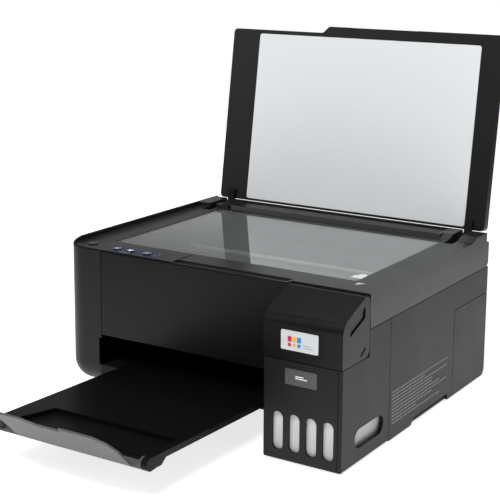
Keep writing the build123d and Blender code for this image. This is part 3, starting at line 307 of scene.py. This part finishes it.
def ring_quads(cx, cy, outer, inner, start=0.0, sweep=360.0, steps=36):
    """A ring, or part of one, as small four-sided outlines."""
    quads = []
    for i in range(steps):
        a = math.radians(start + sweep * i / steps)
        b = math.radians(start + sweep * (i + 1) / steps)
        quads.append([(cx + inner * math.cos(a), cy + inner * math.sin(a)),
                      (cx + outer * math.cos(a), cy + outer * math.sin(a)),
                      (cx + outer * math.cos(b), cy + outer * math.sin(b)),
                      (cx + inner * math.cos(b), cy + inner * math.sin(b))])
    return quads


def disc(cx, cy, r, steps=24):
    """Outline of a round spot."""
    return [(cx + r * math.cos(2 * math.pi * i / steps), cy + r * math.sin(2 * math.pi * i / steps))
            for i in range(steps)]


def rect(x0, y0, x1, y1):
    """Outline of a rectangle between two corners."""
    return [(x0, y0), (x1, y0), (x1, y1), (x0, y1)]


def top_of(node):
    """Middle of a piece's top face."""
    low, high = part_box(node)
    return Vector(((low[0] + high[0]) / 2, (low[1] + high[1]) / 2, high[2]))


X, Y, Z = Vector((1, 0, 0)), Vector((0, 1, 0)), Vector((0, 0, 1))
print("helpers ready")

# %% [markdown]
# ## Symbols on the control panel
# Four keys sit in a low panel: power at the left, then two copy keys and a stop key in a dark blue
# zone. The symbols here are generic: a power mark, a page, a page with an arrow and an open ring.
# Each rides on its own key, so it moves when the key is pressed.

# %% Key symbols
key = top_of("power_button")
plate("power_mark", ring_quads(0, 0, 1.9, 1.5, 120, 300, 20) + [rect(-0.2, 0.6, 0.2, 2.2)],
      key, X, Y, 0.05, MARK, "power_key")
plate("power_ring", ring_quads(0, 0, 4.9, 4.55), key, X, Y, 0.05, MARK, "power_key")
key = top_of("copy_button")
plate("copy_mark", [rect(-1.8, -1.6, 0.6, 1.6), rect(0.9, -0.9, 1.3, 2.0), rect(-1.0, 1.8, 1.3, 2.1)],
      key, X, Y, 0.05, LIT_SOFT, "copy_key")
plate("copy_ring", ring_quads(0, 0, 4.0, 3.65), key, X, Y, 0.05, LIT_SOFT, "copy_key")
key = top_of("start_button")
plate("start_mark", [rect(-2.2, -1.8, 1.2, 1.4), [(1.0, 0.2), (2.9, 1.6), (1.0, 2.3)]],
      key, X, Y, 0.05, LIT, "start_key")
plate("start_ring", ring_quads(0, 0, 4.0, 3.6), key, X, Y, 0.05, LIT_SOFT, "start_key")
key = top_of("stop_button")
plate("stop_mark", ring_quads(0, 0, 1.7, 1.2, 40, 280, 16) + [rect(-0.8, -0.3, 0.9, 0.3)],
      key, X, Y, 0.05, LIT_SOFT, "stop_key")
plate("stop_ring", ring_quads(0, 0, 4.0, 3.55), key, X, Y, 0.05, LIT_SOFT, "stop_key")

# %% [markdown]
# ## The tinted zone and warning lamps on the panel
# A dark blue tinted window surrounds the copy keys, and two tiny drops beside it are the ink and paper
# lamps. The window has holes for the keys, so it is built as strips between them.

# %% Tinted window and lamps
WINDOW_NEAR, WINDOW_FAR = -8.5, 9.5          # mm from the middle line of the keys
KEY_HALF, KEY_GAP = 5.9, 0.1                 # mm: half a key with its gap, and the gap at its sides
WINDOW_LEAD, WINDOW_TAIL, LAMP_GAP = 9, 15, 7
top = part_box("control_panel")[1][2]
printed_top = top + 0.03 * MM                # the marks lie on the tinted window
keys_y = top_of("copy_button").y
strips = []
edge_x = top_of("copy_button").x / MM - WINDOW_LEAD
for name in ("copy_button", "start_button", "stop_button"):
    low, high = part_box(name)
    key_left, key_right = low[0] / MM - KEY_GAP, high[0] / MM + KEY_GAP
    strips.append(rect(edge_x, WINDOW_NEAR, key_left, WINDOW_FAR))
    strips.append(rect(key_left, WINDOW_NEAR, key_right, -KEY_HALF))
    strips.append(rect(key_left, KEY_HALF, key_right, WINDOW_FAR))
    edge_x = key_right
strips.append(rect(edge_x, WINDOW_NEAR, edge_x + WINDOW_TAIL, WINDOW_FAR))
# the tinted window's faint glow is painted light
plate("panel_window", strips, (0, keys_y, top), X, Y, 0.03, NIGHT_BLUE_PAINTED_GLOW, "scanner_unit")
lamp_x = edge_x + LAMP_GAP
drop = [(0, 1.6), (-0.7, 0.3), (-0.85, -0.5), (-0.4, -1.1), (0.4, -1.1), (0.85, -0.5), (0.7, 0.3)]
lamps = [[(lamp_x + dx + u, dy + v) for u, v in drop] for dx, dy in ((2.2, 3.0), (0.0, -2.2))]
plate("ink_lamps", lamps, (0, keys_y, printed_top), X, Y, 0.05, MARK, "scanner_unit")
paper_bars = [rect(-118, -7.4, -112, -6.9), rect(-110.5, -7.6, -108.5, -6.7), rect(-107, -7.4, -102, -6.9)]
plate("paper_marks", paper_bars, (0, keys_y, printed_top), X, Y, 0.05, LIT_SOFT, "scanner_unit")
print("control panel marked")

# %% [markdown]
# ## The badge and the plate on the ink tank unit
# The silver badge carries three ink-coloured squares with a dot under each, and two grey bars. They
# stand for a printed sign and spell nothing. Fine bars on the grey plate do the same.

# %% Badge and plate
FIRST_SQUARE, SQUARE_STEP = -13.0, 5.2       # mm from the badge's middle, and from square to square
low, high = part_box("cover_badge")
cx, cz = (low[0] + high[0]) / 2, (low[2] + high[2]) / 2
face = (cx, low[1], cz)
for i, mat in enumerate(DOTS):
    u = FIRST_SQUARE + i * SQUARE_STEP
    plate("ink_square_%d" % i, [rect(u, -1.2, u + 4.4, 4.2), disc(u + 2.2, -4.2, 1.9)],
          face, X, Z, 0.05, mat, "tank_cover_body")
plate("badge_bars", [rect(4.5, -5.6, 15, -4.8), rect(4.5, -3.4, 12.5, -2.6)],
      face, X, Z, 0.05, MARK, "tank_cover_body")
low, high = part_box("tank_plate")
face = ((low[0] + high[0]) / 2, low[1], (low[2] + high[2]) / 2)
plate("plate_bar", [rect(-6, -1.2, 7, -0.2), rect(-6, 0.8, 3, 1.8)],
      face, X, Z, 0.05, WHITE_MARK, "base")

# %% [markdown]
# ## Raised frames over the windows
# Above each tank window a faint square is moulded in the casing. They are repeats of one thing, so
# they are made with Geometry Nodes: a line of points with one small frame instanced on each. Inputs
# are named, so the count and the spacing can be changed in one place, and the result is turned into a
# plain mesh at the end so that it needs no modifier.

# %% Geometry Nodes repeater
def repeater(name):
    """A node group that instances its object along a line and joins the copies."""
    group = bpy.data.node_groups.new(name, "GeometryNodeTree")
    face = group.interface
    face.new_socket("Geometry", in_out="INPUT", socket_type="NodeSocketGeometry")
    face.new_socket("Count", in_out="INPUT", socket_type="NodeSocketInt")
    face.new_socket("Start", in_out="INPUT", socket_type="NodeSocketVector")
    face.new_socket("Step", in_out="INPUT", socket_type="NodeSocketVector")
    face.new_socket("Material", in_out="INPUT", socket_type="NodeSocketMaterial")
    face.new_socket("Geometry", in_out="OUTPUT", socket_type="NodeSocketGeometry")
    nodes, links = group.nodes, group.links
    inp, out = nodes.new("NodeGroupInput"), nodes.new("NodeGroupOutput")
    line = nodes.new("GeometryNodeMeshLine")
    line.mode = "OFFSET"
    inst = nodes.new("GeometryNodeInstanceOnPoints")
    real = nodes.new("GeometryNodeRealizeInstances")
    setm = nodes.new("GeometryNodeSetMaterial")
    links.new(inp.outputs["Count"], line.inputs["Count"])
    links.new(inp.outputs["Start"], line.inputs["Start Location"])
    links.new(inp.outputs["Step"], line.inputs["Offset"])
    links.new(line.outputs["Mesh"], inst.inputs["Points"])
    links.new(inp.outputs["Geometry"], inst.inputs["Instance"])
    links.new(inst.outputs["Instances"], real.inputs["Geometry"])
    links.new(real.outputs["Geometry"], setm.inputs["Geometry"])
    links.new(inp.outputs["Material"], setm.inputs["Material"])
    links.new(setm.outputs["Geometry"], out.inputs["Geometry"])
    return group


REPEAT = repeater("repeat_along_line")


def repeated(name, outlines, right, up, thick, count, first, step, mat, body):
    """One thin shape repeated along a line by the node group, returned as a plain mesh."""
    seed = plate(name + "_seed", outlines, (0, 0, 0), right, up, thick, mat, body)
    mod = seed.modifiers.new("repeat", "NODES")
    mod.node_group = REPEAT
    ids = {s.name: s.identifier for s in REPEAT.interface.items_tree if s.in_out == "INPUT"}
    mod[ids["Count"]] = count
    mod[ids["Start"]] = tuple(first)
    mod[ids["Step"]] = tuple(step)
    mod[ids["Material"]] = mat
    bpy.context.view_layer.update()
    graph = bpy.context.evaluated_depsgraph_get()
    mesh = bpy.data.meshes.new_from_object(seed.evaluated_get(graph), depsgraph=graph)
    obj = bpy.data.objects.new(name, mesh)
    bpy.data.objects.remove(seed)
    bpy.context.scene.collection.objects.link(obj)
    if not obj.data.materials:
        obj.data.materials.append(mat)
    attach(obj, body)
    print(name, len(mesh.vertices), "vertices")
    return obj


FRAME_FIRST, FRAME_PITCH, FRAME_Z = 16.7, 18.6, 66.0     # mm, from the tank unit's left edge and the floor
housing_left, housing_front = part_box("tank_housing")[0][:2]
frame_outline = [rect(-4.5, -6, 4.5, -5.6), rect(-4.5, 5.6, 4.5, 6), rect(-4.5, -5.6, -4.1, 5.6),
                 rect(4.1, -5.6, 4.5, 5.6)]
first_frame = (housing_left + FRAME_FIRST * MM, housing_front, FRAME_Z * MM)
repeated("window_frames", frame_outline, X, Z, 0.06, 4, first_frame, (FRAME_PITCH * MM, 0, 0),
         CASING, "base")

# %% [markdown]
# ## A printed notice on the right side
# The casing's right side carries a block of small print. Real letters would copy someone's words, so
# it is rows of short grey dashes, each row of its own length: it reads as print from afar and says
# nothing. One group of four dashes is repeated along each row by the node group above.

# %% Notice rows
WORD_ENDS = ((0, 5.2), (6.0, 9.4), (10.2, 16.0), (16.8, 18.6))     # mm along one group of dashes
GROUP_STEP, ROW_STEP, TOP_ROW, PRINT_HEIGHT = 19.4, 3.7, 50.5, 1.4
FULL_ROW = 7                                                        # groups in the longest row
ROW_SHARES = (1.0, 0.6, 0.95, 0.78, 0.72, 0.86, 1.0, 0.66, 0.4, 0.9)
panel_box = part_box("right_side_panel")
side, notice_y = panel_box[1][0], panel_box[0][1] + 6 * MM
dashes = [rect(start, 0, end, PRINT_HEIGHT) for start, end in WORD_ENDS]
# the notice dashes glow faintly, which is painted light, not a lamp
for row, share in enumerate(ROW_SHARES):
    first = (side, notice_y, (TOP_ROW - row * ROW_STEP) * MM)
    repeated("notice_line_%d" % row, dashes, Y, Z, 0.04, round(FULL_ROW * share), first,
             (0, GROUP_STEP * MM, 0), PRINT_PAINTED_GLOW, "base")

# %% [markdown]
# ## Marks by the scanner glass
# A white corner mark shows where to put the page, and a small white tab lies under the glass's right
# edge. Both are thin painted plates.

# %% Glass marks
glass_low, glass_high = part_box("scanner_glass")
bezel_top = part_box("control_panel")[1][2] - 0.0004
corner = (glass_high[0] + 0.001, glass_low[1] - 0.001, bezel_top)
plate("corner_arrow", [[(3, -4), (11, -4), (3, -12)]], corner, X, Y, 0.04, WHITE_MARK, "scanner_unit")
tab = [(0, 0), (12, 0), (12, 14), (9.5, 17), (5, 17), (3, 14), (3, 11), (0, 9)]
tab_place = (glass_high[0] - 0.014, glass_low[1] + 0.012, glass_high[2])
plate("size_tab", [tab], tab_place, X, Y, 0.03, WHITE_MARK, "scanner_unit")
print("glass marked")

# %% [markdown]
# ## Floor and light
# The set is a product studio: a roll of white paper under and behind the printer, a wide soft light
# overhead, a weak one on each side, and the strongest high in front, where it fills the lid's pad.
# Black plastic shows only what it mirrors, so a studio that is white all round would turn it grey.
# Here only the paper and the backdrop behind it are white, and the rest of the room is dark grey. A
# picture of a real room on a dome would do the same, but a smooth mask on the direction is enough.
# The floor is part of the set, not of the object.

# %% Floor
VIEW_AZ, VIEW_EL, VIEW_ROLL = math.radians(32.36), math.radians(11.21), math.radians(0.42)
away = Vector((-math.sin(VIEW_AZ), math.cos(VIEW_AZ), 0))      # along the paper, away from the viewer
across = Vector((math.cos(VIEW_AZ), math.sin(VIEW_AZ), 0))
PAPER_HALF, PAPER_NEAR, PAPER_FAR = 0.62, -1.0, 2.6
floor_mesh = bpy.data.meshes.new("floor")
near_half, far_half = across * PAPER_HALF, across * PAPER_HALF * 2
near, far = away * PAPER_NEAR, away * PAPER_FAR
floor_mesh.from_pydata([near - near_half, near + near_half, far + far_half, far - far_half],
                       [], [(0, 1, 2, 3)])
floor = bpy.data.objects.new("floor", floor_mesh)
bpy.context.scene.collection.objects.link(floor)
FLOOR = paint("floor_white", (0.90, 0.90, 0.90), glow=0.85, rough=0.8)
floor.data.materials.append(FLOOR)

# %% Lights
def soft_light(name, place, aim, width, height, power):
    """A rectangular soft light that points at a spot on the printer."""
    light = bpy.data.lights.new(name, "AREA")
    light.shape, light.size, light.size_y = "RECTANGLE", width, height
    light.energy = power
    obj = bpy.data.objects.new(name, light)
    bpy.context.scene.collection.objects.link(obj)
    back = (Vector(place) - Vector(aim)).normalized()
    side_axis = Z.cross(back).normalized()
    up_axis = back.cross(side_axis)
    turn = Matrix((side_axis, up_axis, back)).transposed().to_4x4()
    obj.matrix_world = Matrix.Translation(Vector(place)) @ turn


soft_light("overhead", (0.0, 0.1, 1.9), (0, 0, 0.1), 1.8, 1.4, 10)
soft_light("right_side", (2.0, -0.5, 0.7), (0.1, 0, 0.1), 0.9, 0.8, 3.5)
soft_light("front_left", (-1.5, -1.7, 1.0), (0, 0, 0.1), 0.9, 1.1, 6)
soft_light("front_high", (0.15, -1.25, 1.75), (0, 0.2, 0.28), 1.2, 0.7, 26)

# %% Backdrop
BACKDROP_CORE, BACKDROP_RIM = math.radians(18), math.radians(27)     # white inside, room tone outside
world = bpy.data.worlds.new("studio")
bpy.context.scene.world = world
world.use_nodes = True
sky = world.node_tree
backdrop = away * math.cos(VIEW_EL) - Z * math.sin(VIEW_EL)
place = sky.nodes.new("ShaderNodeTexCoord")
facing = sky.nodes.new("ShaderNodeVectorMath")
facing.operation = "DOT_PRODUCT"
facing.inputs[1].default_value = backdrop
edge = sky.nodes.new("ShaderNodeMapRange")
edge.interpolation_type = "SMOOTHSTEP"
edge.inputs["From Min"].default_value = math.cos(BACKDROP_RIM)
edge.inputs["From Max"].default_value = math.cos(BACKDROP_CORE)
tone = sky.nodes.new("ShaderNodeMix")
tone.data_type = "RGBA"
tone.inputs["A"].default_value = (0.16, 0.16, 0.163, 1)
tone.inputs["B"].default_value = (1.0, 1.0, 1.0, 1)
sky.links.new(place.outputs["Generated"], facing.inputs[0])
sky.links.new(facing.outputs["Value"], edge.inputs["Value"])
sky.links.new(edge.outputs["Result"], tone.inputs["Factor"])
sky.links.new(tone.outputs["Result"], sky.nodes["Background"].inputs["Color"])
sky.nodes["Background"].inputs["Strength"].default_value = 1.0
print("lights ready")

# %% [markdown]
# ## Camera
# A long lens from the front right, a little above the printer. The frame is shifted rather than
# tilted, which keeps upright edges nearly upright, as is usual for a product on white.

# %% Camera
CAMERA_PLACE = Vector((0.73531, -1.12969, 0.50720))
FOCAL_LENGTH, SENSOR_WIDTH, FRAME_SHIFT = 93.91, 36.0, -0.12
back = -backdrop
right = (-back).cross(Z).normalized()
up = right.cross(-back)
right_r = math.cos(VIEW_ROLL) * right + math.sin(VIEW_ROLL) * up
up_r = -math.sin(VIEW_ROLL) * right + math.cos(VIEW_ROLL) * up
camera = bpy.data.cameras.new("camera")
camera.lens, camera.sensor_width = FOCAL_LENGTH, SENSOR_WIDTH
camera.shift_y = FRAME_SHIFT
camera.clip_end = 50
cam = bpy.data.objects.new("camera", camera)
bpy.context.scene.collection.objects.link(cam)
turn = Matrix((right_r, up_r, back)).transposed().to_4x4()
cam.matrix_world = Matrix.Translation(CAMERA_PLACE) @ turn
bpy.context.scene.camera = cam
bpy.context.scene.view_settings.view_transform = "Standard"
